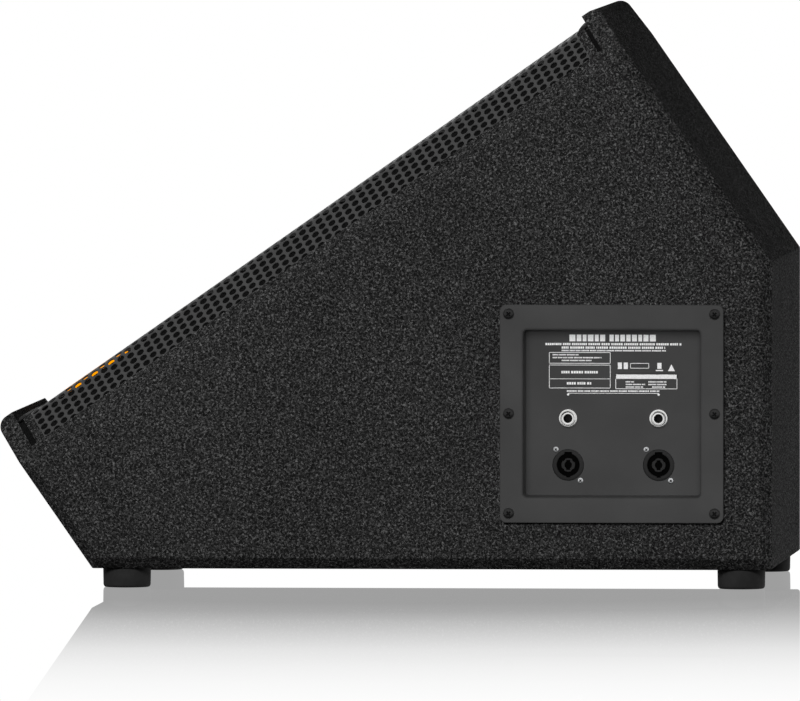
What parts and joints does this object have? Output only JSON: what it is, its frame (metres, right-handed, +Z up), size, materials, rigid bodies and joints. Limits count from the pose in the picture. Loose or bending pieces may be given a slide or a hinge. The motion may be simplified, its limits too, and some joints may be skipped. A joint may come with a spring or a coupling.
{
  "type": "stage monitor wedge",
  "caption": "Passive wedge-shaped stage monitor loudspeaker with a sloped perforated grille, recessed terminal panel and rubber feet.",
  "frame": {"origin": "on the floor plane under the feet, below the middle of the bounding box", "axes": "+X towards the vertical rear face, +Y from the terminal panel side to the handle side, +Z up"},
  "size_m": [0.5998, 0.3908, 0.4465],
  "materials": {
    "coating": "textured black coat on plywood",
    "baffle_paint": "matt black paint",
    "bare_wood": "bare softwood",
    "grille_paint": "black powder coat",
    "badge": "plain amber plate",
    "rubber": "matt",
    "foam": "black closed-cell foam",
    "panel_plastic": "fine grain",
    "black_plastic": "moulded",
    "nickel": "bright nickel plate",
    "black_screw": "black oxide",
    "cast_metal": "black painted casting",
    "paper": "pressed paper pulp",
    "spider_cloth": "resin dipped cloth",
    "ferrite": "ground ferrite",
    "steel": "zinc plated",
    "copper": "enamelled winding",
    "circuit_board": "solder mask",
    "diaphragm_metal": "bare thin metal",
    "wadding": "polyester wadding"
  },
  "bodies": {
    "cabinet": {"terminal_side_panel": "coating", "handle_side_panel": "coating", "bottom_panel": "coating", "rear_panel": "coating", "back_slope_panel": "coating", "lower_front_panel": "coating", "baffle": "baffle_paint", "grille": "grille_paint", "grille_badge": "badge", "grille_strip_lower": "rubber", "grille_strip_upper": "rubber", "terminal_dish": "panel_plastic", "terminal_gasket": "foam", "crossover_board": "circuit_board", "woofer_inductor": "copper", "horn_inductor": "copper", "woofer_capacitor": "black_plastic", "horn_capacitor": "black_plastic", "woofer_lead": "rubber", "driver_lead": "rubber", "handle_cup": "black_plastic", "rear_wadding": "wadding", "woofer_basket": "cast_metal", "woofer_gasket": "rubber", "woofer_surround": "rubber", "woofer_spider": "spider_cloth", "woofer_top_plate": "steel", "woofer_magnet": "ferrite", "woofer_back_plate": "steel", "horn_flare": "black_plastic", "driver_body": "ferrite", "driver_cover": "black_plastic", "baffle_cleat_near": "bare_wood", "grille_damper_near": "foam", "port_tube_near": "black_plastic", "foot_front_near": "rubber", "foot_rear_near": "rubber", "baffle_cleat_far": "bare_wood", "grille_damper_far": "foam", "port_tube_far": "black_plastic", "foot_front_far": "rubber", "foot_rear_far": "rubber", "terminal_screw_1": "black_screw", "terminal_screw_2": "black_screw", "terminal_screw_3": "black_screw", "terminal_screw_4": "black_screw", "terminal_screw_5": "black_screw", "terminal_screw_6": "black_screw", "input_jack_left": "black_plastic", "jack_ferrule_left": "nickel", "speaker_socket_left": "black_plastic", "input_jack_right": "black_plastic", "jack_ferrule_right": "nickel", "speaker_socket_right": "black_plastic"},
    "cone_assembly": {"woofer_cone": "paper", "woofer_dust_cap": "paper", "woofer_voice_coil": "copper"},
    "diaphragm": {"driver_diaphragm": "diaphragm_metal"}
  },
  "joints": [
    {"name": "cone_slide", "type": "slide", "parent": "cabinet", "child": "cone_assembly", "axis": [-0.5707, 0, 0.8211], "range_m": [-0.006, 0.006], "stiffness_N_per_m": 4000, "deforming": ["woofer_surround", "woofer_spider"]},
    {"name": "diaphragm_slide", "type": "slide", "parent": "cabinet", "child": "diaphragm", "axis": [-0.5707, 0, 0.8211], "range_m": [-0.0004, 0.0004], "stiffness_N_per_m": 20000}
  ]
}
